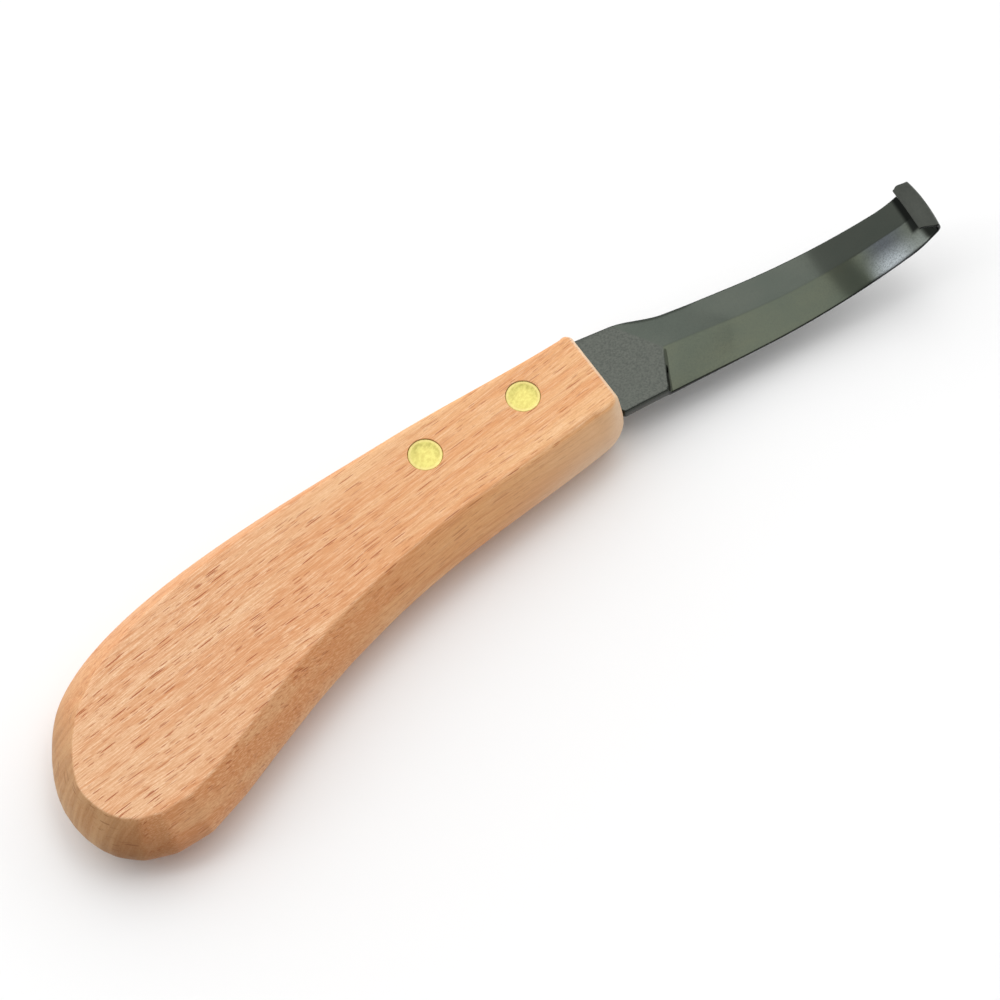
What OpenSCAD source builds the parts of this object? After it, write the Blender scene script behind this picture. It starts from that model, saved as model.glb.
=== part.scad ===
// Hoof knife: a hooked, bowed steel blade whose tang is set in a one-piece beech handle
// and held there by two brass cutler's rivets, each a post pressed into a sleeve.
// Millimetres. X runs along the line of the rivets towards the blade, Z is up.
// The origin lies midway between the rivets on the flat underside of the handle.

/* [Handle] */
// Length of the handle from its front end to the end of the butt
handle_length = 140.4; // [125:0.2:155]
// Thickness of the handle between its two flat faces
handle_thickness = 18; // [15:0.5:21]
// Height of the back edge above the rivet line at its crest
back_height = 10.5; // [9:0.1:12]
// How far the back edge falls from its crest to the front end
back_fall = 1.3; // [0:0.1:3]
// Width of the handle just behind its front end, measured from the crest of the back
front_width = 26.5; // [24:0.5:29]
// Width of the handle at the waist, measured from the crest of the back
waist_width = 30.3; // [28:0.1:34]
// Distance of the waist behind the middle of the rivets
waist_setback = 14.5; // [8:0.5:24]
// Distance from the rivet line down to the belly of the butt
butt_drop = 41.7; // [36:0.1:47]
// Distance from the end of the butt forward to the lowest point of its belly
belly_setback = 18.5; // [15:0.5:23]
// Distance from the end of the butt forward to its shoulder
shoulder_setback = 10.5; // [8:0.5:14]
// Depth of the shoulder below the rivet line
shoulder_drop = 2.1; // [0:0.1:5]

/* [Handle edges] */
// How far the flat faces stand back from the belly side
belly_inset = 5.2; // [3:0.1:6]
// How far the flat faces stand back from the grip in front of the waist
grip_inset = 4.2; // [2.5:0.1:5.5]
// How far the flat faces stand back from the back edge
back_inset = 3.5; // [2.5:0.1:5]
// How far the flat faces stand back from the shoulder of the butt
shoulder_inset = 6.5; // [4:0.1:7.5]
// How far the flat faces stand back from the end of the butt
butt_inset = 3.7; // [2:0.1:5]
// How far the flat faces stand back from the front end
front_inset = 1.2; // [0.4:0.1:1.6]
// Corner radius of the front end on the back side
back_corner = 3.4; // [3:0.1:5]
// Corner radius of the front end on the belly side
belly_corner = 6; // [5:0.5:8]
// How full the sides are: 1 is a plain ridge, 2 is a round side
side_fullness = 1.5; // [1.2:0.1:2.2]

/* [Tang] */
// Length of the tang inside the handle
tang_length = 54; // [46:1:62]
// Width of the tang, centred on the rivets
tang_width = 11; // [9:0.5:13]
// Thickness of the tang
tang_thickness = 2.2; // [1.8:0.1:2.4]
// Gap between the tang and its slot on every side
tang_gap = 0.1; // [0.05:0.05:0.3]
// Gap between the shoulder of the blade and the front end of the handle
shoulder_gap = 0.05; // [0.05:0.05:0.3]

/* [Blade] */
// Angle between the blade and the rivet line, towards the cutting edge
blade_skew = 6.7; // [0:0.1:9]
// Distance of the blade's middle below the rivet line where it meets the handle
blade_offset = 1.5; // [0:0.1:3]
// Width of the blade root where it meets the handle
root_width = 20; // [17:0.2:21]
// Thickness of the blade root
root_thickness = 2.6; // [2.4:0.1:3.2]
// Length of the root as far as the cutting bevel, measured at the ridge
root_length = 15.8; // [13:0.1:19]
// Step from the root in to the spine
spine_step = 1.8; // [0.5:0.1:2.5]
// Width that the blade tapers to at the hook, spine step included
tip_width = 14.2; // [12:0.2:17]
// Thickness of the ground blade at its spine
blade_thickness = 1.9; // [1.5:0.1:2.2]
// Thickness left at the cutting edge
edge_thickness = 0.6; // [0.3:0.05:0.9]

/* [Bow and hook] */
// Length of the blade that stays flat
flat_length = 36; // [28:0.5:42]
// Length of the gentle bow
bow_length = 35; // [28:0.5:46]
// Radius of the gentle bow
bow_radius = 95; // [80:1:180]
// Length of the heel, where the bow tightens towards the hook
heel_length = 6.3; // [4:0.1:9]
// Radius of the heel
heel_radius = 12.7; // [10:0.1:22]
// Length of the straight neck between heel and hook
neck_length = 2.7; // [1:0.1:5]
// Radius of the hook, where the blade turns upright
hook_radius = 2.2; // [1.8:0.1:4]
// Angle that the hook turns through
hook_turn = 67; // [50:1:75]
// Length of the upright wall between the hook and the fold
wall_length = 0.9; // [0.4:0.1:2]
// Outer radius of the fold, where the lip is turned back over the blade
fold_radius = 0.3; // [0.2:0.05:0.5]
// Angle that the fold turns through
fold_turn = 81; // [60:1:100]
// Length of the flat lip beyond the fold
lip_length = 3.5; // [2.6:0.1:5]
// Thickness of the lip
lip_thickness = 0.75; // [0.5:0.05:0.85]

/* [Rivets] */
// Distance between the two rivets
rivet_pitch = 24; // [18:1:30]
// Distance from the front rivet to the front end of the handle
rivet_setback = 17.4; // [14:0.2:22]
// Diameter of the rivet heads
head_diameter = 7.2; // [6:0.2:8]
// Thickness of the rivet heads at their rim
head_thickness = 1.2; // [0.8:0.1:2]
// Crown of the rivet heads above their rim
head_crown = 0.2; // [0.1:0.05:0.4]
// Outside diameter of the sleeve
sleeve_diameter = 4.6; // [4.2:0.1:5.2]
// Diameter of the post
post_diameter = 3; // [2.4:0.1:3.4]
// Radial gap between post and sleeve
post_gap = 0.02; // [0.01:0.01:0.05]
// Radial gap between the rivets and their holes
hole_gap = 0.1; // [0.05:0.05:0.3]

/* [Hidden] */
$fn = 64;

front_x = rivet_pitch / 2 + rivet_setback;
butt_x = front_x - handle_length;
mid_z = handle_thickness / 2;
rivet_xs = [rivet_pitch / 2, -rivet_pitch / 2];

// Outline of the handle

function along(angle) = [cos(angle), sin(angle)];

// A knot of the outline is [point, heading, reach before it, reach after it, inset].
// The reach is how far the curve keeps to the heading of the knot.
back_y = back_height - back_fall;
belly_y = back_height - front_width;
waist_y = back_height - waist_width;
butt_y = -butt_drop * 0.557;
corner_run = 1.5;
front_reach = 2;
back_corner_reach = back_corner * 0.55;
belly_corner_reach = belly_corner * 0.6;
back_reach = 14;
crest_reach = 27;
shoulder_reach = 22;
shoulder_turn = 5.6;
butt_turn = 7.8;
butt_reach = 10;
belly_reach = 13;
waist_reach = 45;
grip_reach = 12;

knot_back_low = [
    [front_x, back_y - back_corner], 90, front_reach, back_corner_reach, front_inset
];
knot_back_high = [
    [front_x - back_corner, back_y], 180, back_corner_reach, back_reach, min(back_inset, back_corner - 0.8)
];
knot_back = [[-waist_setback, back_height], 180, back_reach, crest_reach, back_inset];
knot_shoulder = [
    [butt_x + shoulder_setback, -shoulder_drop], 219, shoulder_reach, shoulder_turn, shoulder_inset
];
knot_butt = [[butt_x, butt_y], 270, butt_turn, butt_reach, butt_inset];
knot_belly = [[butt_x + belly_setback, -butt_drop], 0, belly_reach, belly_reach, belly_inset];
knot_waist = [[-waist_setback, waist_y], 7, waist_reach, grip_reach, belly_inset];
knot_belly_front = [
    [front_x - belly_corner - corner_run, belly_y], 8, grip_reach, belly_corner_reach, grip_inset
];
knot_front_low = [
    [front_x, belly_y + belly_corner], 90, belly_corner_reach, front_reach, front_inset
];

function bezier(a, b, c, d, t) =
    pow(1 - t, 3) * a + 3 * t * pow(1 - t, 2) * b + 3 * t * t * (1 - t) * c + pow(t, 3) * d;
function bezier_heading(a, b, c, d, t) =
    let (v = pow(1 - t, 2) * (b - a) + 2 * t * (1 - t) * (c - b) + t * t * (d - c)) atan2(v[1], v[0]);

// Points [x, y, heading, inset] from one knot to the next, without the last.
function stretch(k, m, steps) =
    let (
        a = k[0],
        b = k[0] + k[3] * along(k[1]),
        c = m[0] - m[2] * along(m[1]),
        d = m[0]
    )
    [for (i = [0:steps - 1])
        let (t = i / steps, p = bezier(a, b, c, d, t))
        [p[0], p[1], bezier_heading(a, b, c, d, t), k[4] + (m[4] - k[4]) * t]];

// Both sides have the same number of points, so that the flat faces can be laced across.
back_side = concat(
    stretch(knot_back_low, knot_back_high, 6),
    stretch(knot_back_high, knot_back, 9),
    stretch(knot_back, knot_shoulder, 18),
    stretch(knot_shoulder, knot_butt, 12)
);
belly_side = concat(
    stretch(knot_butt, knot_belly, 12),
    stretch(knot_belly, knot_waist, 18),
    stretch(knot_waist, knot_belly_front, 9),
    stretch(knot_belly_front, knot_front_low, 6),
    [[front_x, belly_y + belly_corner, 90, front_inset]]
);
outline = concat(back_side, belly_side);
side_count = len(back_side);
outline_count = len(outline);

// Rounded side: widest at mid thickness, falling back to meet the flat faces at a crease.
side_levels = 12;
function set_back(inset, z) = inset * pow(abs(z / mid_z - 1), side_fullness);
function level_z(level) = mid_z - mid_z * cos(180 * level / side_levels);
function side_point(p, z) =
    let (q = [p[0], p[1]] - set_back(p[3], z) * along(p[2] - 90)) [q[0], q[1], z];

handle_points = [
    for (level = [0:side_levels]) for (p = outline) side_point(p, level_z(level))
];
function skin_index(level, i) = level * outline_count + (i % outline_count);
side_faces = [
    for (level = [0:side_levels - 1]) for (i = [0:outline_count - 1])
        for (face = [
            [skin_index(level, i), skin_index(level + 1, i), skin_index(level + 1, i + 1)],
            [skin_index(level, i), skin_index(level + 1, i + 1), skin_index(level, i + 1)]
        ]) face
];

// Rungs across a flat face: a point of the back is laced to the matching point of the belly.
// The first rung is the front end, and the last is the end of the butt.
function rung(level, i) = [skin_index(level, i), skin_index(level, outline_count - 1 - i)];
function flip(face, yes) = yes ? [face[2], face[1], face[0]] : face;
function flat_faces(level, up) = [
    for (i = [0:side_count - 1])
        let (a = rung(level, i), b = rung(level, i + 1))
        for (face = [
            [a[0], b[0], a[1]],
            if (i < side_count - 1) [a[1], b[0], b[1]]
        ]) flip(face, up)
];

module handle_body() {
    polyhedron(
        points = handle_points,
        faces = concat(side_faces, flat_faces(0, false), flat_faces(side_levels, true))
    );
}

// Sizes shared by the tang, its slot and the rivets

module tang_slab(gap) {
    overlap = gap > 0 ? 2 : 1.5;
    translate([front_x - tang_length - gap, -tang_width / 2 - gap, mid_z - tang_thickness / 2 - gap])
        cube([tang_length + gap + overlap, tang_width + 2 * gap, tang_thickness + 2 * gap]);
}

module rivet_holes() {
    hole = sleeve_diameter + 2 * hole_gap;
    seat = head_diameter + 2 * hole_gap;
    depth = head_thickness + head_crown;
    for (x = rivet_xs)
        translate([x, 0, 0]) {
            translate([0, 0, -1]) cylinder(d = hole, h = handle_thickness + 2);
            translate([0, 0, -1]) cylinder(d = seat, h = depth + 1);
            translate([0, 0, handle_thickness - depth]) cylinder(d = seat, h = depth + 1);
        }
}

module handle() {
    color([0.90, 0.68, 0.46])
        difference() {
            handle_body();
            tang_slab(tang_gap);
            rivet_holes();
        }
}

// Blade

// The back of the blade as runs of [length, radius], with radius 0 for a straight run.
hook_length = hook_radius * hook_turn * PI / 180;
fold_length = fold_radius * fold_turn * PI / 180;
runs = [
    [flat_length, 0],
    [bow_length, bow_radius],
    [heel_length, heel_radius],
    [neck_length, 0],
    [hook_length, hook_radius],
    [wall_length, 0],
    [fold_length, fold_radius],
    [lip_length, 0]
];
heel_start = flat_length + bow_length;
neck_start = heel_start + heel_length;
hook_start = neck_start + neck_length;
wall_start = hook_start + hook_length;
fold_start = wall_start + wall_length;
lip_start = fold_start + fold_length;
blade_length = lip_start + lip_length;

// [distance along, height, slope] of the back at a length s measured along it.
function bent(s, i = 0, at = [0, 0, 0]) =
    let (
        length = runs[i][0],
        radius = runs[i][1],
        step = i < len(runs) - 1 ? min(s, length) : s,
        turn = radius > 0 ? step / radius * 180 / PI : 0,
        chord = radius > 0 ? 2 * radius * sin(turn / 2) : step,
        next = [
            at[0] + chord * cos(at[2] + turn / 2),
            at[1] + chord * sin(at[2] + turn / 2),
            at[2] + turn
        ]
    )
    s <= length || i == len(runs) - 1 ? next : bent(s - length, i + 1, next);

function ease(a, b, x) = let (t = max(0, min(1, (x - a) / (b - a)))) t * t * (3 - 2 * t);
function mix(a, b, t) = a + (b - a) * t;

spine_lead = 7.8;
spine_start = root_length - spine_lead;
spine_run = 12;
grind_run = 20;
plunge_lean = 4;
plunge_start = root_length - plunge_lean;
plunge_run = 1;
plunge_share = 0.8;
plunge_settle = 6;
plunge_end = root_length + plunge_settle;
ridge_wander = 0.6;
ridge_run = 10;
corner_round = 0.8;
fold_inside = 0.1;
fold_lead = 2;
fold_bow = 0.48;
fold_middle = -1.8;
fold_draw = 0.15;
bend_fall = 0.3;
lip_slant = 1.5;
lip_flare = 0.5;
lip_corner = 0.5;
lip_corner_run = 1.4;

// How much the corners are rounded off at the shoulder, against the handle.
function corner_cut(s) =
    s < corner_round ? corner_round - sqrt(pow(corner_round, 2) - pow(corner_round - s, 2)) : 0;
function half_width(s) = mix(root_width, tip_width, min(1, s / heel_start)) / 2;
function spine_v(s) =
    half_width(s) - corner_cut(s) - spine_step * ease(spine_start, spine_start + spine_run, s)
    - fold_draw * ease(neck_start, fold_start, s) + lip_flare * ease(fold_start, blade_length - 1, s)
    - lip_corner * ease(blade_length - lip_corner_run, blade_length, s);
function edge_v(s) =
    -half_width(s) + corner_cut(s) + lip_slant * ease(fold_start, blade_length, s);

// The ridge between the flat and the bevel wanders a little across the middle of the blade.
function ridge_v(s) = mix(ridge_wander, -ridge_wander, min(1, s / (flat_length + ridge_run)));

// Lanes across the blade: 0 is the spine, 1 the ridge, 2 the cutting edge.
lanes = [0, 0.5, 1, 1.25, 1.5, 1.75, 2];
lane_count = len(lanes);
function lane_v(s, lane) =
    lane <= 1 ? mix(spine_v(s), ridge_v(s), lane) : mix(ridge_v(s), edge_v(s), lane - 1);
function spine_thickness(s) = mix(blade_thickness, lip_thickness, ease(heel_start, fold_start, s));
function edge_left(s) = min(edge_thickness, spine_thickness(s));

// Share of the grind that is done at s. It begins with a crisp step at the cutting edge and none at
// the ridge, and then deepens slowly.
function grind(s, lane) =
    let (
        across = max(0, lane - 1),
        start = lane < 1 ? mix(spine_start, root_length, lane) : mix(root_length, plunge_start, across),
        step = plunge_share * across,
        crisp = ease(start, start + max(0.05, plunge_run * across), s)
    )
    step * crisp + (1 - step) * ease(start, start + grind_run, s);
function lane_thickness(s, lane) =
    mix(root_thickness, mix(spine_thickness(s), edge_left(s), max(0, lane - 1)), grind(s, lane));

// The shoulder is square to the tang, so the first sections lean back by the skew of the blade.
// The fold bows outwards in the middle and runs a little back towards the spine.
function bow_out(v) = fold_bow * (1 - pow((v - fold_middle) / (tip_width / 2 - spine_step / 2), 2));
function lean(s, v) =
    let (
        square = -v * tan(blade_skew) * (1 - ease(0, spine_start, s)),
        fall = bend_fall * pow(max(0, v) / half_width(s), 2),
        bow = bow_out(v) * (1 - ease(lip_start, blade_length, s))
    )
    square + (bow - fall) * ease(neck_start, fold_start, s);

// The inside of the fold is a tighter corner than the outside, so the inner face lags behind the outer
// one before the fold and leads it after the fold.
function fold_side(s) = fold_turn * (0.5 - max(0, min(1, (s - fold_start) / fold_length)));
function fold_reach(s) =
    ease(fold_start - fold_lead, fold_start, s) * (1 - ease(lip_start, lip_start + fold_lead, s));
function blade_point(s, v, t) =
    let (
        b = bent(s),
        extra = max(0, t - fold_radius + fold_inside) / cos(fold_turn / 2),
        up = t + extra * (cos(fold_side(s)) - cos(fold_turn / 2)),
        lag = extra * sin(fold_side(s)) * fold_reach(s)
    )
    [b[0] - up * sin(b[2]) - lag * cos(b[2]) + lean(s, v), v, b[1] + up * cos(b[2]) - lag * sin(b[2])];

// A section runs along the back face from the cutting edge to the spine and returns over the upper face.
function section(s) = concat(
    [for (i = [lane_count - 1:-1:0]) blade_point(s, lane_v(s, lanes[i]), 0)],
    [for (lane = lanes) blade_point(s, lane_v(s, lane), lane_thickness(s, lane))]
);

function spaced(a, b, steps) = [for (i = [0:steps - 1]) a + (b - a) * i / steps];
stations = concat(
    spaced(0, corner_round, 4),
    spaced(corner_round, spine_start, 3),
    spaced(spine_start, plunge_start, 4),
    spaced(plunge_start, root_length + plunge_run, 16),
    spaced(root_length + plunge_run, plunge_end, 6),
    spaced(plunge_end, flat_length, 6),
    spaced(flat_length, heel_start, 14),
    spaced(heel_start, neck_start, 8),
    spaced(neck_start, hook_start, 2),
    spaced(hook_start, wall_start, 9),
    spaced(wall_start, fold_start, 2),
    spaced(fold_start, lip_start, 6),
    spaced(lip_start, blade_length, 6),
    [blade_length]
);

module blade_body() {
    sections = [for (s = stations) section(s)];
    size = len(sections[0]);
    last = len(sections) - 1;
    function index(i, j) = i * size + j % size;
    sides = [
        for (i = [0:last - 1]) for (j = [0:size - 1])
            for (face = [
                [index(i, j), index(i + 1, j + 1), index(i, j + 1)],
                [index(i, j), index(i + 1, j), index(i + 1, j + 1)]
            ]) face
    ];
    caps = [
        for (j = [0:lane_count - 2])
            let (k = size - 1 - j)
            for (face = [
                [index(0, j), index(0, j + 1), index(0, k - 1)],
                [index(0, j), index(0, k - 1), index(0, k)],
                [index(last, j), index(last, k - 1), index(last, j + 1)],
                [index(last, j), index(last, k), index(last, k - 1)]
            ]) face
    ];
    polyhedron(points = [for (section = sections) for (p = section) p], faces = concat(sides, caps));
}

module blade() {
    color([0.27, 0.30, 0.28])
        difference() {
            union() {
                translate([front_x + shoulder_gap, -blade_offset, mid_z - root_thickness / 2])
                    rotate(-blade_skew) blade_body();
                tang_slab(0);
            }
            for (x = rivet_xs)
                translate([x, 0, 0]) cylinder(d = sleeve_diameter + 2 * hole_gap, h = handle_thickness);
        }
}

// Rivets

crown_radius = (pow(head_diameter / 2, 2) + pow(head_crown, 2)) / (2 * head_crown);
head_height = head_thickness + head_crown;

// A crowned head whose top is at z = 0.
module rivet_head() {
    intersection() {
        translate([0, 0, -head_height]) cylinder(d = head_diameter, h = head_height);
        translate([0, 0, -crown_radius]) sphere(r = crown_radius);
    }
}

sleeve_length = handle_thickness - 2 * head_height - 0.3;
post_length = sleeve_length - 0.7;

module rivet_post(x) {
    color([0.80, 0.68, 0.30])
        translate([x, 0, handle_thickness]) {
            rivet_head();
            translate([0, 0, -head_height - post_length]) cylinder(d = post_diameter, h = post_length + 0.5);
        }
}

module rivet_sleeve(x) {
    bore = post_diameter + 2 * post_gap;
    color([0.80, 0.68, 0.30])
        translate([x, 0, 0]) difference() {
            union() {
                mirror([0, 0, 1]) rivet_head();
                translate([0, 0, head_height - 0.5]) cylinder(d = sleeve_diameter, h = sleeve_length + 0.5);
            }
            translate([0, 0, head_height]) cylinder(d = bore, h = sleeve_length + 1);
        }
}

handle();
blade();
rivet_post(rivet_xs[0]);  // front_rivet_post
rivet_sleeve(rivet_xs[0]);  // front_rivet_sleeve
rivet_post(rivet_xs[1]);  // rear_rivet_post
rivet_sleeve(rivet_xs[1]);  // rear_rivet_sleeve
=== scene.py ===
"""Hoof knife with a hooked, bowed steel blade, a curved beech handle and brass rivets.

Shapes are worked out in millimetres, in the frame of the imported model: X runs along the rivets
towards the blade, Y towards the back edge, Z up. Meshes are made in metres.
"""

import math
from collections import namedtuple

import bpy
import numpy as np
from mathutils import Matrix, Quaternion, Vector


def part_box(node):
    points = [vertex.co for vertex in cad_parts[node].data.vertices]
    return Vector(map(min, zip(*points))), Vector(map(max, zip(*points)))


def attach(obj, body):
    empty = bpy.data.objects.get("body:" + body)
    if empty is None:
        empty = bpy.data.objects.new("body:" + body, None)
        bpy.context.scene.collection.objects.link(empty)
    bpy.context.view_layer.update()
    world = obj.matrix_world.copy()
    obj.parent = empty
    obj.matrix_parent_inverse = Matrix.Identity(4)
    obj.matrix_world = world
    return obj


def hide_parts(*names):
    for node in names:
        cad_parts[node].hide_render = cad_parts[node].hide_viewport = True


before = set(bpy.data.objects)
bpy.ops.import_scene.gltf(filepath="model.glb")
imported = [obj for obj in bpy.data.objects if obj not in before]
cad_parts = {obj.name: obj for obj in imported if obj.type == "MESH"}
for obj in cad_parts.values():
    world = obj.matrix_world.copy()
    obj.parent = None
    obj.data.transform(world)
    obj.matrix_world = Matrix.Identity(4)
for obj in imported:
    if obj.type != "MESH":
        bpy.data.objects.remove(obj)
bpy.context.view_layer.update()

MM = 0.001


def box_mm(node):
    """Lowest and highest corner of a CAD node, in millimetres."""
    low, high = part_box(node)
    return np.array(low) / MM, np.array(high) / MM


# Sizes that the frame gives
handle_low, handle_high = box_mm("handle")
FRONT_X = handle_high[0]
BUTT_X = handle_low[0]
BELLY_Y = handle_low[1]
THICKNESS = handle_high[2]
MID_Z = THICKNESS / 2
rivet_boxes = {place: box_mm(f"{place}_rivet_post") for place in ("front", "rear")}
RIVET_X = {place: (low[0] + high[0]) / 2 for place, (low, high) in rivet_boxes.items()}
HEAD_RADIUS = (rivet_boxes["front"][1][0] - rivet_boxes["front"][0][0]) / 2


# Mesh helpers

SHARP_ANGLE = 35
TURN_STEPS = 96
ROUND_ANGLES = np.radians([0, 22, 45, 68, 90])


def mesh_piece(name, points_mm, faces, sharp_angle=SHARP_ANGLE):
    """A new smooth-shaded object from points in millimetres, with sharp edges above an angle in degrees."""
    mesh = bpy.data.meshes.new(name)
    mesh.from_pydata((np.asarray(points_mm) * MM).tolist(), [], faces)
    mesh.validate()
    piece = bpy.data.objects.new(name, mesh)
    bpy.context.scene.collection.objects.link(piece)
    shade(mesh, sharp_angle)
    return piece


def shade(mesh, sharp_angle):
    mesh.polygons.foreach_set("use_smooth", [True] * len(mesh.polygons))
    mesh.set_sharp_from_angle(angle=math.radians(sharp_angle))
    mesh.update()


def combine(piece, tool, operation, sharp_angle=SHARP_ANGLE):
    """Joins another solid to a piece, or cuts it away, and drops the tool."""
    modifier = piece.modifiers.new("combine", "BOOLEAN")
    modifier.operation = operation
    modifier.solver = "EXACT"
    modifier.object = tool
    bpy.context.view_layer.update()
    result = piece.evaluated_get(bpy.context.evaluated_depsgraph_get())
    old = piece.data
    piece.data = bpy.data.meshes.new_from_object(result)
    piece.modifiers.clear()
    piece.data.name = piece.name
    bpy.data.meshes.remove(old)
    bpy.data.objects.remove(tool)
    shade(piece.data, sharp_angle)


def ring_faces(rings, size):
    """Quads between successive closed rings of points, all of one size."""
    return [
        (r * size + i, r * size + (i + 1) % size, (r + 1) * size + (i + 1) % size, (r + 1) * size + i)
        for r in range(rings - 1)
        for i in range(size)
    ]


def loft(name, rings, sharp_angle=SHARP_ANGLE):
    """A closed solid through rings of points; the first and last rings are capped."""
    size = len(rings[0])
    faces = ring_faces(len(rings), size)
    last = (len(rings) - 1) * size
    faces.append(tuple(reversed(range(size))))
    faces.append(tuple(range(last, last + size)))
    return mesh_piece(name, np.concatenate(rings), faces, sharp_angle)


def lathe(name, profile, x):
    """A solid turned about a line along Z at x, from (radius, z) points whose ends lie on the line."""
    angles = np.arange(TURN_STEPS) * 2 * math.pi / TURN_STEPS
    turn = np.stack([np.cos(angles), np.sin(angles)], 1)
    rings = []
    for radius, z in profile[1:-1]:
        ring = np.column_stack([x + radius * turn[:, 0], radius * turn[:, 1], np.full(TURN_STEPS, z)])
        rings.append(ring)
    points = np.concatenate([*rings, [(x, 0, profile[0][1]), (x, 0, profile[-1][1])]])
    faces = ring_faces(len(rings), TURN_STEPS)
    first_end = len(rings) * TURN_STEPS
    last_ring = first_end - TURN_STEPS
    for i in range(TURN_STEPS):
        j = (i + 1) % TURN_STEPS
        faces.append((first_end, j, i))
        faces.append((last_ring + i, last_ring + j, first_end + 1))
    return mesh_piece(name, points, faces)


def block(name, low, high):
    """A plain box, used as a tool."""
    corners = [(x, y, z) for x in (low[0], high[0]) for y in (low[1], high[1]) for z in (low[2], high[2])]
    faces = [(0, 1, 3, 2), (4, 6, 7, 5), (0, 4, 5, 1), (2, 3, 7, 6), (0, 2, 6, 4), (1, 5, 7, 3)]
    return mesh_piece(name, corners, faces)


# Handle
# A knot is a point of the outline with its heading in degrees, how far the curve keeps to that heading
# before and after it, how far the flat faces stand back there, and how far the crease is rounded.

Knot = namedtuple("Knot", "point heading before after inset crease")

BACK_Y = 9.2
CREST = (-14.5, 10.5)
SHOULDER = (BUTT_X + 10.5, -2.1)
BUTT_Y = BELLY_Y * 0.557
BELLY_X = BUTT_X + 18.5
WAIST = (-14.5, -19.8)
FRONT_BELLY_Y = -16
BACK_CORNER = 3.4
BACK_CORNER_REACH = BACK_CORNER * 0.55
BELLY_CORNER = 6
BELLY_CORNER_REACH = BELLY_CORNER * 0.6
BELLY_CORNER_RUN = 1.5

KNOTS = [
    Knot((FRONT_X, BACK_Y - BACK_CORNER), 90, 0, BACK_CORNER_REACH, 1.2, 1.2),
    Knot((FRONT_X - BACK_CORNER, BACK_Y), 180, BACK_CORNER_REACH, 14, 2.6, 0.8),
    Knot(CREST, 180, 14, 27, 3.5, 0.8),
    Knot(SHOULDER, 219, 22, 5.6, 6.5, 0.5),
    Knot((BUTT_X, BUTT_Y), 270, 7.8, 10, 3.7, 0.4),
    Knot((BELLY_X, BELLY_Y), 360, 13, 13, 5.2, 0.4),
    Knot(WAIST, 367, 45, 12, 5.2, 0.5),
    Knot((FRONT_X - BELLY_CORNER - BELLY_CORNER_RUN, FRONT_BELLY_Y), 368, 12, BELLY_CORNER_REACH, 4.2, 1.1),
    Knot((FRONT_X, FRONT_BELLY_Y + BELLY_CORNER), 450, BELLY_CORNER_REACH, 0, 1.2, 1.2),
]
OUTLINE_STEP = 0.7
SIDE_FULLNESS = 1.5
WALL_STEPS = 14
CREASE_STEPS = 5
FLAT_MARGIN = 0.4
OUTLINE_TRIM = 0.005

# Flats that the sanding belt left round the butt and along the belly: where they meet, as distances
# along the outline from the end of the butt, and how far the outline goes over to the flats.
SANDED_EDGES = (-17, -12.5, -8.6, -5.1, -1.5, 2.3, 5.8, 9.3, 13, 18.1, 25, 33, 43, 53.3, 66, 78, 91)
SANDED_SHARE = 0.85


def heading_vector(degrees):
    return np.stack([np.cos(np.radians(degrees)), np.sin(np.radians(degrees))], -1)


def stretch(start, end):
    """Rows of [x, y, heading, inset, crease] along the curve between two knots, without the last."""
    a = np.array(start.point)
    d = np.array(end.point)
    b = a + start.after * heading_vector(start.heading)
    c = d - end.before * heading_vector(end.heading)
    steps = math.ceil(np.linalg.norm(d - a) / OUTLINE_STEP)
    t = (np.arange(steps) / steps)[:, None]
    points = (1 - t) ** 3 * a + 3 * t * (1 - t) ** 2 * b + 3 * t**2 * (1 - t) * c + t**3 * d
    slope = (1 - t) ** 2 * (b - a) + 2 * t * (1 - t) * (c - b) + t**2 * (d - c)
    heading = np.degrees(np.arctan2(slope[:, 1], slope[:, 0]))[:, None]
    inset = start.inset + (end.inset - start.inset) * t
    crease = start.crease + (end.crease - start.crease) * t
    return np.hstack([points, heading, inset, crease])


def sanded(outline):
    """The outline with its butt and belly taken most of the way to the belt's flats, edges softened."""
    points = outline[:, :2]
    steps = np.linalg.norm(np.diff(points, axis=0), axis=1)
    along = np.concatenate([[0], np.cumsum(steps)])
    along -= along[np.argmin(points[:, 0])]
    edges = np.array(SANDED_EDGES)
    inside = (along > edges[0]) & (along < edges[-1])
    chords = np.stack(
        [np.interp(along, edges, np.interp(edges, along, points[:, k])) for k in (0, 1)], 1
    )
    flats = points + SANDED_SHARE * (chords - points) * inside[:, None]
    softened = (np.roll(flats, 1, axis=0) + 2 * flats + np.roll(flats, -1, axis=0)) / 4
    outline[inside, :2] = softened[inside]
    return outline


def side_profile(inset, crease):
    """Rows of [set back, height above the middle] from the widest place up to the flat face."""
    slope = np.array([SIDE_FULLNESS * inset / MID_Z, 1])
    slope /= np.linalg.norm(slope)
    top = MID_Z - crease * slope[1]
    heights = top * np.arange(WALL_STEPS + 1) / WALL_STEPS
    wall = np.column_stack([inset * (heights / MID_Z) ** SIDE_FULLNESS, heights])
    corner = np.array([inset, MID_Z])
    flat = corner + [crease, 0]
    t = (np.arange(1, CREASE_STEPS + 1) / CREASE_STEPS)[:, None]
    rounding = (1 - t) ** 2 * wall[-1] + 2 * t * (1 - t) * corner + t**2 * flat
    return np.vstack([wall, rounding, flat + [FLAT_MARGIN, 0]])


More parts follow.
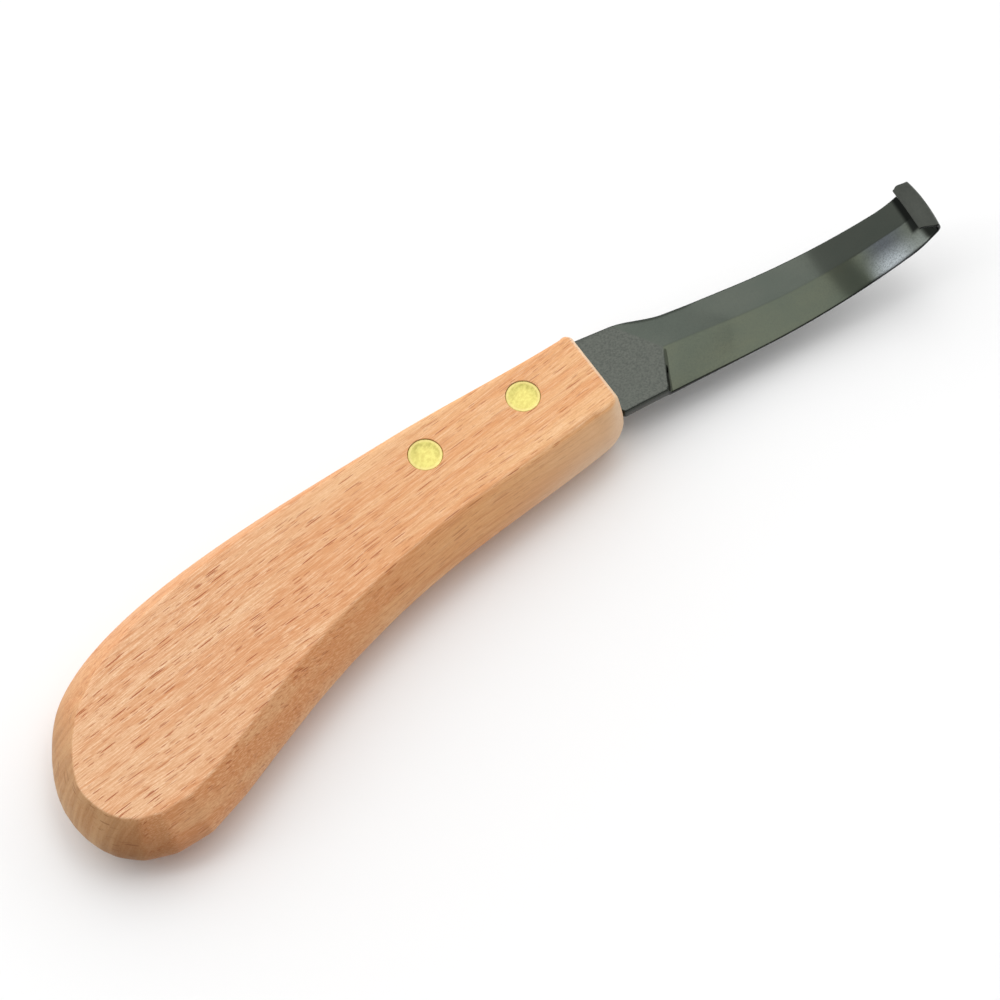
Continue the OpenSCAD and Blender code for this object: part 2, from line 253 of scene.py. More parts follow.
def handle_rings():
    """Closed rings round the handle, from the lower flat face to the upper one."""
    outline = sanded(np.vstack([stretch(a, b) for a, b in zip(KNOTS, KNOTS[1:])]))
    profiles = np.array([side_profile(inset, crease) for inset, crease in outline[:, 3:]])
    outward = heading_vector(outline[:, 2] - 90)
    rings = []
    for level in range(profiles.shape[1]):
        set_back, height = profiles[:, level].T
        plan = outline[:, :2] - (set_back + OUTLINE_TRIM)[:, None] * outward
        rings.append((plan, height))
    lower = [np.column_stack([plan, MID_Z - height]) for plan, height in reversed(rings)]
    upper = [np.column_stack([plan, MID_Z + height]) for plan, height in rings[1:]]
    return lower + upper


# Tang and rivet holes

TANG_LENGTH = 54
TANG_WIDTH = 11
TANG_THICKNESS = 2.2
TANG_GAP = 0.1
TANG_REACH = 1.5
SLOT_REACH = 2
HOLE_GAP = 0.1
SEAT_GAP = 0.03
SLEEVE_RADIUS = 2.3
HEAD_HEIGHT = 1.4
RIM_CHAMFER = 0.1
HOLE_OVERSHOOT = 0.5


def tang_box(name, gap, reach):
    """The tang, or with a gap its slot, running forward past the front end by a reach."""
    low = (FRONT_X - TANG_LENGTH - gap, -TANG_WIDTH / 2 - gap, MID_Z - TANG_THICKNESS / 2 - gap)
    high = (FRONT_X + reach, TANG_WIDTH / 2 + gap, MID_Z + TANG_THICKNESS / 2 + gap)
    return block(name, low, high)


def rivet_hole(name, x):
    """The hole of a rivet with a seat for its head on both faces."""
    seat = HEAD_RADIUS + SEAT_GAP
    hole = SLEEVE_RADIUS + HOLE_GAP
    half = [
        (0, -HOLE_OVERSHOOT),
        (seat + RIM_CHAMFER, -HOLE_OVERSHOOT),
        (seat + RIM_CHAMFER, 0),
        (seat, RIM_CHAMFER),
        (seat, HEAD_HEIGHT),
        (hole, HEAD_HEIGHT),
    ]
    other = [(radius, THICKNESS - z) for radius, z in reversed(half)]
    return lathe(name, half + other, x)


def make_handle():
    handle = loft("beech_handle", handle_rings())
    combine(handle, tang_box("slot", TANG_GAP, SLOT_REACH), "DIFFERENCE")
    for x in RIVET_X.values():
        combine(handle, rivet_hole("hole", x), "DIFFERENCE")
    return handle


# Blade
# Worked out in its own frame: s along its back face, v across it with the spine at +v, and t up from
# the back face. The back is flat, bows up, tightens at the heel, turns upright at the hook and folds
# into a lip.

BLADE_SKEW = math.radians(6.7)
BLADE_OFFSET = 1.5
SHOULDER_GAP = 0.05
ROOT_WIDTH = 20
ROOT_THICKNESS = 2.6
ROOT_LENGTH = 15.8
SPINE_STEP = 1.8
SPINE_LEAD = 7.8
SPINE_START = ROOT_LENGTH - SPINE_LEAD
SPINE_RUN = 12
GRIND_RUN = 20
GRIND_BEND = 0.2
PLUNGE_LEAN = 4
PLUNGE_START = ROOT_LENGTH - PLUNGE_LEAN
PLUNGE_RUN = 1
PLUNGE_SHARE = 0.8
TIP_WIDTH = 14.2
SPINE_THICKNESS = 1.9
EDGE_THICKNESS = 0.6
LIP_THICKNESS = 0.75
RIDGE_WANDER = 0.6
RIDGE_RUN = 10
CORNER_ROUND = 0.8
HOOK_RADIUS = 2.2
HOOK_TURN = math.radians(67)
FOLD_RADIUS = 0.3
FOLD_INSIDE = 0.1
FOLD_TURN = math.radians(81)
FOLD_LEAD = 2
FOLD_BOW = 0.48
FOLD_MIDDLE = -1.8
FOLD_DRAW = 0.15
BEND_FALL = 0.3
LIP_SLANT = 1.5
LIP_FLARE = 0.5
LIP_FLARE_STOP = 1
LIP_CORNER = 0.5
LIP_CORNER_RUN = 1.4

# Runs of the back face, each with its bending radius, 0 where it is straight, and the step between rows
Run = namedtuple("Run", "length radius step")
FLAT = Run(36, 0, 0.5)
BOW = Run(35, 95, 0.6)
HEEL = Run(6.3, 12.7, 0.25)
NECK = Run(2.7, 0, 0.3)
HOOK = Run(HOOK_RADIUS * HOOK_TURN, HOOK_RADIUS, 0.15)
WALL = Run(0.9, 0, 0.15)
FOLD = Run(FOLD_RADIUS * FOLD_TURN, FOLD_RADIUS, 0.05)
LIP = Run(3.5, 0, 0.2)
RUNS = (FLAT, BOW, HEEL, NECK, HOOK, WALL, FOLD, LIP)

HEEL_START = FLAT.length + BOW.length
NECK_START = HEEL_START + HEEL.length
FOLD_START = NECK_START + NECK.length + HOOK.length + WALL.length
LIP_START = FOLD_START + FOLD.length
BLADE_LENGTH = LIP_START + LIP.length

# Rounding of the blade's long edges and of the end of its lip
SPINE_ROUND = 0.3
ROOT_EDGE_ROUND = 0.7
EDGE_ROUND = 0.2
LIP_ROUND = 0.12
END_ROUND = 0.12
ROUND_STEPS = 4
BACK_TRIM = 0.02

# Rows of the mesh: close together at the shoulder and the plunge, and leaning over with the plunge
SHOULDER_ROWS = (0.0, 0.1, 0.25, 0.45, 0.65)
PLUNGE_STEP = 0.05
ROW_TOLERANCE = 1e-6
LEAN_PLACES = (2, ROOT_LENGTH - 1, ROOT_LENGTH + 2, FLAT.length)
LEAN_SHIFTS = (0, -PLUNGE_LEAN, -PLUNGE_LEAN, 0)
BLADE_SHARP_ANGLE = 28


def ease(a, b, x):
    t = np.clip((x - a) / (b - a), 0, 1)
    return t * t * (3 - 2 * t)


def settle(a, b, x):
    """Goes from 0 to 1 between a and b at an even slope, with a bend at each end."""
    t = np.clip((x - a) / (b - a), 0, 1)
    bend_rise = 2 * GRIND_BEND * (1 - GRIND_BEND)
    first = t**2 / bend_rise
    even = np.maximum(0, t - GRIND_BEND / 2) / (1 - GRIND_BEND)
    last = 1 - (1 - t) ** 2 / bend_rise
    return np.where(t < GRIND_BEND, first, np.where(t > 1 - GRIND_BEND, last, even))


def mix(a, b, t):
    return a + (b - a) * t


def bent(s):
    """(distance along, height, slope) of the back face at s."""
    along, height, slope = 0.0, 0.0, 0.0
    for run in RUNS:
        step = s if run is RUNS[-1] else min(s, run.length)
        turn = step / run.radius if run.radius else 0.0
        chord = 2 * run.radius * math.sin(turn / 2) if run.radius else step
        along += chord * math.cos(slope + turn / 2)
        height += chord * math.sin(slope + turn / 2)
        slope += turn
        s -= step
        if s <= 0:
            break
    return along, height, slope


def corner_cut(s):
    return CORNER_ROUND - np.sqrt(CORNER_ROUND**2 - np.maximum(0, CORNER_ROUND - s) ** 2)


def half_width(s):
    return mix(ROOT_WIDTH, TIP_WIDTH, np.minimum(1, s / HEEL_START)) / 2


def spine_v(s):
    return (
        half_width(s)
        - corner_cut(s)
        - SPINE_STEP * ease(SPINE_START, SPINE_START + SPINE_RUN, s)
        - FOLD_DRAW * ease(NECK_START, FOLD_START, s)
        + LIP_FLARE * ease(FOLD_START, BLADE_LENGTH - LIP_FLARE_STOP, s)
        - LIP_CORNER * ease(BLADE_LENGTH - LIP_CORNER_RUN, BLADE_LENGTH, s)
    )


def edge_v(s):
    return -half_width(s) + corner_cut(s) + LIP_SLANT * ease(FOLD_START, BLADE_LENGTH, s)


def ridge_v(s):
    return mix(RIDGE_WANDER, -RIDGE_WANDER, np.minimum(1, s / (FLAT.length + RIDGE_RUN)))


# Lanes across the blade: 0 is the spine, 1 the ridge, 2 the cutting edge.
LANES = np.concatenate([np.linspace(0.15, 0.9, 6), [0.96, 1, 1.04], np.linspace(1.1, 1.9, 9)])


def lane_v(s, lane):
    spine_side = mix(spine_v(s), ridge_v(s), lane)
    edge_side = mix(ridge_v(s), edge_v(s), lane - 1)
    return np.where(lane <= 1, spine_side, edge_side)


def grind(s, lane):
    """Share of the grind done at s: a step that grows towards the cutting edge, then an even fall."""
    across = np.maximum(0, lane - 1)
    before_ridge = mix(SPINE_START, ROOT_LENGTH, np.minimum(1, lane))
    start = np.where(lane < 1, before_ridge, ROOT_LENGTH - PLUNGE_LEAN * across)
    step = PLUNGE_SHARE * across
    crisp = ease(start, start + PLUNGE_RUN, s)
    return step * crisp + (1 - step) * settle(start, start + GRIND_RUN, s)


def lane_thickness(s, lane):
    spine = mix(SPINE_THICKNESS, LIP_THICKNESS, ease(HEEL_START, FOLD_START, s))
    edge = np.minimum(EDGE_THICKNESS, spine)
    return mix(ROOT_THICKNESS, mix(spine, edge, np.maximum(0, lane - 1)), grind(s, lane))


def row_shift(s, lane):
    """How far a row of the mesh leans back at a lane, so that rows run along the start of the bevel."""
    return np.interp(s, LEAN_PLACES, LEAN_SHIFTS) * np.maximum(0, lane - 1)


def rounded_corner(before, corner, after, reach):
    """A curve that rounds a corner off, beginning and ending at a reach from it."""
    to_before = (before - corner) / np.linalg.norm(before - corner)
    to_after = (after - corner) / np.linalg.norm(after - corner)
    t = (np.arange(ROUND_STEPS + 1) / ROUND_STEPS)[:, None]
    first = corner + reach * to_before
    last = corner + reach * to_after
    return (1 - t) ** 2 * first + 2 * t * (1 - t) * corner + t**2 * last


def section(s):
    """Points [v, t, shift along] round the blade at s."""
    places = s + row_shift(s, LANES)
    top = np.column_stack([lane_v(places, LANES), lane_thickness(places, LANES)])
    edge_shift = float(row_shift(s, 2.0))
    at_edge = s + edge_shift
    spine_top = np.array([spine_v(s), lane_thickness(s, 0.0)])
    edge_top = np.array([edge_v(at_edge), lane_thickness(at_edge, 2.0)])
    spine_low = np.array([spine_v(s), BACK_TRIM])
    edge_low = np.array([edge_v(at_edge), BACK_TRIM])
    back = np.column_stack([top[::-1, 0], np.full(len(LANES), BACK_TRIM)])
    edge_round = mix(ROOT_EDGE_ROUND, EDGE_ROUND, ease(PLUNGE_START, PLUNGE_START + PLUNGE_RUN, at_edge))
    spine_round = mix(SPINE_ROUND, LIP_ROUND, ease(HEEL_START, FOLD_START, s))
    corners = [
        rounded_corner(edge_top, edge_low, spine_low, edge_round),
        back,
        rounded_corner(edge_low, spine_low, spine_top, spine_round),
        rounded_corner(spine_low, spine_top, top[0], spine_round),
        top,
        rounded_corner(top[-1], edge_top, edge_low, edge_round),
    ]
    along = [
        np.full(ROUND_STEPS + 1, edge_shift),
        (places - s)[::-1],
        np.zeros(2 * (ROUND_STEPS + 1)),
        places - s,
        np.full(ROUND_STEPS + 1, edge_shift),
    ]
    return np.column_stack([np.vstack(corners), np.concatenate(along)])


def shrunk(points, amount):
    """A section drawn in by an amount on every side."""
    low, high = points.min(0), points.max(0)
    middle = (low + high) / 2
    middle[2] = 0
    scale = np.array([1 - 2 * amount / (high[0] - low[0]), 1 - 2 * amount / (high[1] - low[1]), 1])
    return middle + (points - middle) * scale


def lean(s, v, shift):
    """How far a point across the blade stands ahead: square at the shoulder, bowed out at the fold."""
    square = -v * math.tan(BLADE_SKEW) * (1 - ease(0, SPINE_START, s + shift))
    bow = FOLD_BOW * (1 - ((v - FOLD_MIDDLE) / (TIP_WIDTH / 2 - SPINE_STEP / 2)) ** 2)
    fall = BEND_FALL * (np.maximum(0, v) / half_width(s)) ** 2
    return square + (bow * (1 - ease(LIP_START, BLADE_LENGTH, s)) - fall) * ease(NECK_START, FOLD_START, s)


def inner_offset(s, t):
    """How far up and how far back a point at height t lies, with a tighter corner inside the fold."""
    side = FOLD_TURN * (0.5 - np.clip((s - FOLD_START) / FOLD.length, 0, 1))
    reach = ease(FOLD_START - FOLD_LEAD, FOLD_START, s) * (1 - ease(LIP_START, LIP_START + FOLD_LEAD, s))
    extra = np.maximum(0, t - FOLD_RADIUS + FOLD_INSIDE) / math.cos(FOLD_TURN / 2)
    return t + extra * (np.cos(side) - math.cos(FOLD_TURN / 2)), extra * np.sin(side) * reach


def place_section(s, points):
    """Points [v, t, shift along] at s in the frame of the knife."""
    along, height, slope = bent(s)
    v, t, shift = points.T
    up, lag = inner_offset(s, t)
    u = along + shift - up * math.sin(slope) - lag * math.cos(slope) + lean(s, v, shift)
    return np.column_stack(
        [
            FRONT_X + SHOULDER_GAP + u * math.cos(BLADE_SKEW) + v * math.sin(BLADE_SKEW),
            -BLADE_OFFSET - u * math.sin(BLADE_SKEW) + v * math.cos(BLADE_SKEW),
            MID_Z - ROOT_THICKNESS / 2 + height + up * math.cos(slope) - lag * math.sin(slope),
        ]
    )


def stations():
    """Places along the back face, closer together at the shoulder, the plunge and the bends."""
    places = list(SHOULDER_ROWS)
    at = CORNER_ROUND
    run_end = 0.0
    for run in RUNS:
        run_end += run.length
        while at < run_end - ROW_TOLERANCE:
            places.append(at)
            at += PLUNGE_STEP if abs(at - ROOT_LENGTH) < PLUNGE_RUN else run.step
        at = run_end
    return places


def make_blade():
    tip = BLADE_LENGTH - END_ROUND
    rings = [place_section(s, section(s)) for s in stations() if s < tip]
    for angle in ROUND_ANGLES:
        s = tip + END_ROUND * math.sin(angle)
        rings.append(place_section(s, shrunk(section(s), END_ROUND * (1 - math.cos(angle)))))
    blade = loft("hooked_blade", rings, BLADE_SHARP_ANGLE)
    combine(blade, tang_box("tang", 0, TANG_REACH), "UNION", BLADE_SHARP_ANGLE)
    hole = SLEEVE_RADIUS + HOLE_GAP
    bore = [(0, 0), (hole, 0), (hole, THICKNESS), (0, THICKNESS)]
    for x in RIVET_X.values():
        combine(blade, lathe("bore", bore, x), "DIFFERENCE", BLADE_SHARP_ANGLE)
    return blade


# Rivets

HEAD_CROWN = 0.2
HEAD_EDGE = 0.15
POST_RADIUS = 1.5
POST_GAP = 0.02
SLEEVE_END_GAP = 0.3
SLEEVE_LENGTH = THICKNESS - 2 * HEAD_HEIGHT - SLEEVE_END_GAP
POST_END_GAP = 0.7
POST_LENGTH = SLEEVE_LENGTH - POST_END_GAP
CROWN_STEPS = 12


def head_profile():
    """(radius, depth) of a crowned head from the middle of its top to its rim, with a rounded edge."""
    crown_radius = (HEAD_RADIUS**2 + HEAD_CROWN**2) / (2 * HEAD_CROWN)
    flat = HEAD_RADIUS - HEAD_EDGE
    radii = flat * np.arange(CROWN_STEPS + 1) / CROWN_STEPS
    crown = [(r, crown_radius - math.sqrt(crown_radius**2 - r**2)) for r in radii]
    depth = crown[-1][1]
    corner = [
        (flat + HEAD_EDGE * math.sin(a), depth + HEAD_EDGE * (1 - math.cos(a)))
        for a in ROUND_ANGLES[1:]
    ]
    return crown + corner


def make_rivet(place, x):
    head = head_profile()
    post = head + [(HEAD_RADIUS, HEAD_HEIGHT), (POST_RADIUS, HEAD_HEIGHT)]
    post += [(POST_RADIUS, HEAD_HEIGHT + POST_LENGTH), (0, HEAD_HEIGHT + POST_LENGTH)]
    bore = POST_RADIUS + POST_GAP
    sleeve = head + [(HEAD_RADIUS, HEAD_HEIGHT), (SLEEVE_RADIUS, HEAD_HEIGHT)]
    sleeve += [(SLEEVE_RADIUS, HEAD_HEIGHT + SLEEVE_LENGTH), (bore, HEAD_HEIGHT + SLEEVE_LENGTH)]
    sleeve += [(bore, HEAD_HEIGHT), (0, HEAD_HEIGHT)]
    upper = [(radius, THICKNESS - depth) for radius, depth in reversed(post)]
    return {
        f"{place}_rivet_post": lathe(f"brass_{place}_post", upper, x),
        f"{place}_rivet_sleeve": lathe(f"brass_{place}_sleeve", sleeve, x),
    }


# Materials


class Shader:
    """A material whose nodes are added and linked by plain calls."""

    def __init__(self, name):
        self.material = bpy.data.materials.new(name)
        self.material.use_nodes = True
        self.tree = self.material.node_tree
        self.tree.nodes.clear()

    def add(self, kind, inputs=None, **settings):
        node = self.tree.nodes.new(kind)
        for key, value in settings.items():
            setattr(node, key, value)
        for socket, value in (inputs or {}).items():
            self.put(node.inputs[socket], value)
        return node

    def put(self, socket, value):
        if isinstance(value, bpy.types.NodeSocket):
            self.tree.links.new(value, socket)
        else:
            socket.default_value = value

    def vector(self, operation, a, b=(0, 0, 0), result="Vector"):
        return self.add("ShaderNodeVectorMath", {0: a, 1: b}, operation=operation).outputs[result]

    def place_mm(self, rotation=0.0, centre=(0, 0)):
        """The place on the object in millimetres from a centre, with X turned about Z by a rotation."""
        coordinates = self.add("ShaderNodeTexCoord").outputs["Object"]
        shift = (-centre[0] * MM, -centre[1] * MM, 0)
        moved = self.vector("ADD", coordinates, shift)
        turned = self.add("ShaderNodeMapping", {"Vector": moved, "Rotation": (0, 0, -rotation)})
        self.put(turned.inputs["Scale"], (1 / MM,) * 3)
        return turned.outputs[0]

    def stretched(self, place, size):
        """Coordinates in which a feature of that size along, across and up is one unit."""
        scale = tuple(1 / length for length in size)
        return self.vector("MULTIPLY", place, scale)

    def noise(self, place, pattern):
        inputs = {
            "Vector": self.stretched(place, pattern.size),
            "Scale": 1.0,
            "Detail": pattern.detail,
            "Roughness": pattern.roughness,
        }
        return self.add("ShaderNodeTexNoise", inputs).outputs[0]

    def math(self, operation, a, b=0.0, clamp=False):
        return self.add("ShaderNodeMath", {0: a, 1: b}, operation=operation, use_clamp=clamp).outputs[0]

    def ramp(self, value, low, high, to_low=0.0, to_high=1.0, kind="SMOOTHSTEP"):
        """Goes from to_low to to_high as the value goes from low to high, and stays there."""
        inputs = {0: value, 1: low, 2: high, 3: to_low, 4: to_high}
        return self.add("ShaderNodeMapRange", inputs, interpolation_type=kind).outputs[0]

    def facing(self, direction):
        """How squarely the surface faces a direction: 1 is full on, -1 is away from it."""
        normal = self.add("ShaderNodeTexCoord").outputs["Normal"]
        return self.vector("DOT_PRODUCT", normal, direction, "Value")

    def blend(self, factor, a, b, mode="MIX"):
        node = self.add("ShaderNodeMix", data_type="RGBA", blend_type=mode)
        for socket, value in zip((0, 6, 7), (factor, a, b)):
            self.put(node.inputs[socket], (*value, 1.0) if isinstance(value, tuple) else value)
        return node.outputs[2]

    def bump(self, height, depth_mm, normal=None):
        inputs = {"Height": height, "Strength": 1.0, "Distance": depth_mm * MM}
        if normal is not None:
            inputs["Normal"] = normal
        return self.add("ShaderNodeBump", inputs).outputs[0]

    def finish(self, inputs):
        shader = self.add("ShaderNodeBsdfPrincipled", inputs)
        self.add("ShaderNodeOutputMaterial", {"Surface": shader.outputs[0]})
        return self.material


# A pattern of noise has features of a size along, across and up in millimetres, a number of finer layers,
# and a strength of those layers. Colours are linear red, green and blue.

Pattern = namedtuple("Pattern", "size detail roughness")


# Beech

GRAIN_ANGLE = math.radians(6)
GRAIN = (math.cos(GRAIN_ANGLE), math.sin(GRAIN_ANGLE), 0)
BUTT_CORNER = (-0.5, -0.86, 0)

DRIFT = Pattern((55, 18, 30), 1.0, 0.5)
DRIFT_REACH = 5.0
BANDS = Pattern((80, 4.5, 6), 2.0, 0.5)
STREAKS = Pattern((24, 0.5, 0.8), 3.0, 0.6)
FIBRES = Pattern((5.0, 0.17, 0.25), 3.0, 0.65)
PORES = Pattern((0.6, 0.22, 0.3), 3.0, 0.7)
SCRATCHES = Pattern((1.2, 0.07, 0.1), 2.0, 0.5)
END_RINGS = Pattern((60, 1.5, 16), 2.0, 0.6)
LONG_FLECK_SIZE = (5.5, 0.32, 0.8)
SHORT_FLECK_SIZE = (2.6, 0.25, 0.6)
FLECK_SHARE = 0.5
END_CHECK_SIZE = (6, 3.2, 0.4)
END_CHECK_SHARE = 0.45
WOOD_RELIEF = 0.03

BAND_COLOURS = (0.70, 0.335, 0.15), (0.775, 0.46, 0.245)
STREAK_COLOUR = (0.63, 0.27, 0.11)
PALE_FIBRE_COLOUR = (0.90, 0.62, 0.395)
DARK_FIBRE_COLOUR = (0.57, 0.25, 0.10)
PORE_COLOUR = (0.58, 0.26, 0.105)
FLECK_COLOUR = (0.42, 0.125, 0.045)
# Painted light: the paler side walls of the grip
GRIP_SIDE_LIGHT_COLOUR = (0.79, 0.61, 0.44)
# Painted highlight on the rounded front edge
FRONT_EDGE_HIGHLIGHT_COLOUR = (0.80, 0.69, 0.55)
END_COLOURS = (0.60, 0.295, 0.13), (0.78, 0.44, 0.225)
END_CHECK_COLOUR = (0.36, 0.14, 0.055)

# Tints that the wood is multiplied by
WARMTH_TINTS = (0.97, 0.96, 1.0), (1.05, 1.03, 0.94)
# End grain is darker; this tint also holds painted shade on the butt and the front end
END_GRAIN_AND_SHADE_TINT = (0.68, 0.75, 0.76)
# Painted shade on the corner of the butt that faces front and down
BUTT_CORNER_SHADE_TINT = (0.69, 0.58, 0.46)
# Painted shade: a warmer, darker line just under the crease
CREASE_SHADE_TINT = (0.98, 0.88, 0.76)

# Where changes along the grain begin and end, in millimetres from the middle between the rivets
WARMTH_RUN = (-85, 15)
BUTT_RUN = (-70, -50)
WORN_RUN = (-62, -30)
GRIP_RUN = (-15, 20)
FRONT_RUN = (0, 20)


def grain_places(shader):
    """Places along, across and up the grain: straight, and drifting as the grain of a tree does."""
    straight = shader.place_mm(GRAIN_ANGLE)
    drift = shader.math("SUBTRACT", shader.noise(straight, DRIFT), 0.5)
    wave = shader.math("MULTIPLY", drift, DRIFT_REACH)
    offset = shader.add("ShaderNodeCombineXYZ", {1: wave, 2: wave}).outputs[0]
    return straight, shader.vector("ADD", straight, offset)


def face_grain(shader, place, along, texture):
    """Bands, streaks, fibres and pores as a colour, with the streaks and the fibres themselves."""
    bands = shader.noise(place, BANDS)
    streaks = shader.noise(place, STREAKS)
    fibres = shader.noise(place, FIBRES)
    pores = shader.noise(place, PORES)
    colour = shader.blend(shader.ramp(bands, 0.38, 0.62), *BAND_COLOURS)
    warmth = shader.blend(shader.ramp(along, *WARMTH_RUN), *WARMTH_TINTS)
    colour = shader.blend(1.0, colour, warmth, "MULTIPLY")
    colour = shader.blend(shader.ramp(streaks, 0.47, 0.65, 0.0, 0.55), colour, STREAK_COLOUR)
    layers = (
        (shader.ramp(fibres, 0.45, 0.68, 0.0, 0.55), PALE_FIBRE_COLOUR),
        (shader.ramp(fibres, 0.3, 0.48, 0.45, 0.0), DARK_FIBRE_COLOUR),
        (shader.ramp(pores, 0.32, 0.58, 0.3, 0.0), PORE_COLOUR),
    )
    for strength, layer_colour in layers:
        colour = shader.blend(shader.math("MULTIPLY", strength, texture), colour, layer_colour)
    return colour, streaks, fibres


def ray_flecks(shader, place, size, share):
    """Strength of the short dark dashes that the rays of beech leave along the grain."""
    inputs = {"Vector": shader.stretched(place, size), "Scale": 1.0}
    cells = shader.add("ShaderNodeTexVoronoi", inputs, feature="F1")
    chance = shader.add("ShaderNodeSeparateColor", {0: cells.outputs["Color"]})
    reach = shader.ramp(chance.outputs[0], 1 - share, 1.0, 0.0, 0.45)
    fleck = shader.ramp(shader.math("SUBTRACT", reach, cells.outputs["Distance"]), 0.0, 0.09)
    return shader.math("MULTIPLY", fleck, shader.ramp(chance.outputs[1], 0.0, 1.0, 0.3, 1.0))


def face_flecks(shader, place, flatness, worn):
    """Strength of long and short flecks, fainter on the sides and stronger where the wood is worn."""
    long_flecks = ray_flecks(shader, place, LONG_FLECK_SIZE, FLECK_SHARE)
    short_flecks = ray_flecks(shader, place, SHORT_FLECK_SIZE, FLECK_SHARE)
    flecks = shader.math("MAXIMUM", long_flecks, shader.math("MULTIPLY", short_flecks, 0.7))
    flecks = shader.math("MULTIPLY", flecks, shader.ramp(flatness, 0.4, 0.9, 0.35, 0.85))
    return shader.math("MULTIPLY", flecks, worn, clamp=True)


def paint_side_light(shader, colour, along, flatness, to_front):
    """The colour with painted light: paler side walls at the grip, and a painted highlight on the rounded
    front edge.
    """
    # Painted light on the side walls of the grip
    side = shader.ramp(flatness, 0.3, 0.8, 0.65, 0.0)
    painted_grip_light = shader.math("MULTIPLY", side, shader.ramp(along, *GRIP_RUN))
    colour = shader.blend(painted_grip_light, colour, GRIP_SIDE_LIGHT_COLOUR)
    # Painted highlight on the rounded front edge
    rounded = shader.ramp(flatness, 0.15, 0.5, 0, 0.75)
    painted_front_highlight = shader.math("MULTIPLY", shader.ramp(to_front, 0.15, 0.75), rounded)
    return shader.blend(painted_front_highlight, colour, FRONT_EDGE_HIGHLIGHT_COLOUR)


def end_grain(shader, colour, place, along, to_front):
    """The colour with rings, checks and a darker tint on the butt and on the front end, for darker end
    grain and partly painted shade.
    """
    across_grain = shader.math("ABSOLUTE", shader.facing(GRAIN))
    butt = shader.math("MULTIPLY", across_grain, shader.ramp(along, *BUTT_RUN, 1.0, 0.1))
    end = shader.math("MAXIMUM", butt, shader.ramp(to_front, 0.85, 0.97, 0.0, 0.8))
    rings = shader.noise(place, END_RINGS)
    ring_colour = shader.blend(shader.ramp(rings, 0.36, 0.62), *END_COLOURS)
    colour = shader.blend(shader.ramp(end, 0.2, 0.7, 0.0, 0.65), colour, ring_colour)
    checks = ray_flecks(shader, place, END_CHECK_SIZE, END_CHECK_SHARE)
    checks = shader.math("MULTIPLY", checks, shader.ramp(end, 0.35, 0.7, 0.0, 0.6))
    colour = shader.blend(checks, colour, END_CHECK_COLOUR)
    # Darker end grain, partly painted shade
    return shader.blend(shader.ramp(end, 0.1, 0.85), colour, END_GRAIN_AND_SHADE_TINT, "MULTIPLY")


def painted_edge_shade(shader, colour, along, flatness):
    """The colour with painted shade: a darker corner at the butt and a warmer, darker line under the
    crease.
    """
    # Painted shade on the corner of the butt that faces front and down
    to_corner = shader.ramp(shader.facing(BUTT_CORNER), 0.72, 0.95)
    painted_butt_shade = shader.math("MULTIPLY", to_corner, shader.ramp(along, *BUTT_RUN, 1.0, 0.0))
    colour = shader.blend(painted_butt_shade, colour, BUTT_CORNER_SHADE_TINT, "MULTIPLY")
    # Painted shade just under the crease
    off_side = shader.ramp(flatness, 0.1, 0.5)
    painted_crease_shade = shader.math("MULTIPLY", off_side, shader.ramp(flatness, 0.7, 0.9, 1, 0))
    return shader.blend(painted_crease_shade, colour, CREASE_SHADE_TINT, "MULTIPLY")


def beech():
    """Sanded beech: pale bands along the grain, fine fibres, and the short dark flecks of its rays."""
    shader = Shader("beech")
    straight, place = grain_places(shader)
    along = shader.add("ShaderNodeSeparateXYZ", {0: straight}).outputs[0]
    flatness = shader.math("ABSOLUTE", shader.facing((0, 0, 1)))
    to_front = shader.math("MULTIPLY", shader.facing((1, 0, 0)), shader.ramp(along, *FRONT_RUN))
    worn = shader.ramp(along, *WORN_RUN, 1.5, 1.0)
    texture = shader.math("MULTIPLY", worn, shader.ramp(flatness, 0.4, 0.9, 0.6, 1.0))

    colour, streaks, fibres = face_grain(shader, place, along, texture)
    flecks = face_flecks(shader, place, flatness, worn)
    colour = shader.blend(flecks, colour, FLECK_COLOUR)
    colour = paint_side_light(shader, colour, along, flatness, to_front)
    colour = end_grain(shader, colour, place, along, to_front)
    colour = painted_edge_shade(shader, colour, along, flatness)

    relief = shader.math("SUBTRACT", fibres, shader.math("MULTIPLY", flecks, 1.2))
    scratches = shader.math("MULTIPLY", shader.noise(place, SCRATCHES), 0.5)
    relief = shader.math("ADD", relief, scratches)
    return shader.finish(
        {
            "Base Color": colour,
            "Roughness": shader.ramp(streaks, 0.3, 0.7, 0.5, 0.62),
            "Specular IOR Level": 0.25,
            "Normal": shader.bump(relief, WOOD_RELIEF),
        }
    )


# Steel

TO_HANDLE = (-math.cos(BLADE_SKEW), math.sin(BLADE_SKEW), 0)
TO_SPINE = (math.sin(BLADE_SKEW), math.cos(BLADE_SKEW), 0)

# Places on the blade: inside of the hook along and up, height of the lip, and how far it hangs over across
HOOK_U = 73.8
HOOK_Z = 18.6
LIP_Z = 22.2
OVERHANG = (-4.2, -3.2)

# The honed part of the bevel, which carries a painted highlight: where it begins and is full, where it
# fades towards the hook, and how far from the ridge it is brightest and darkest
HONED_RUN = (HEEL_START - 10, HEEL_START - 3.5)
HONED_FADE = (HEEL_START - 3, HOOK_U)
HONED_ACROSS = (-6.3, -1.2)

STEEL_CLOUDS = Pattern((16, 9, 9), 3.0, 0.55)
STEEL_SPECKS = Pattern((0.35, 0.35, 0.35), 3.0, 0.6)
FORGED_PITS = Pattern((0.5, 0.4, 0.4), 3.0, 0.65)
GRINDING_MARKS = Pattern((0.16, 5.0, 5.0), 2.0, 0.6)
GROUND_RELIEF = 0.002
FORGED_RELIEF = 0.01

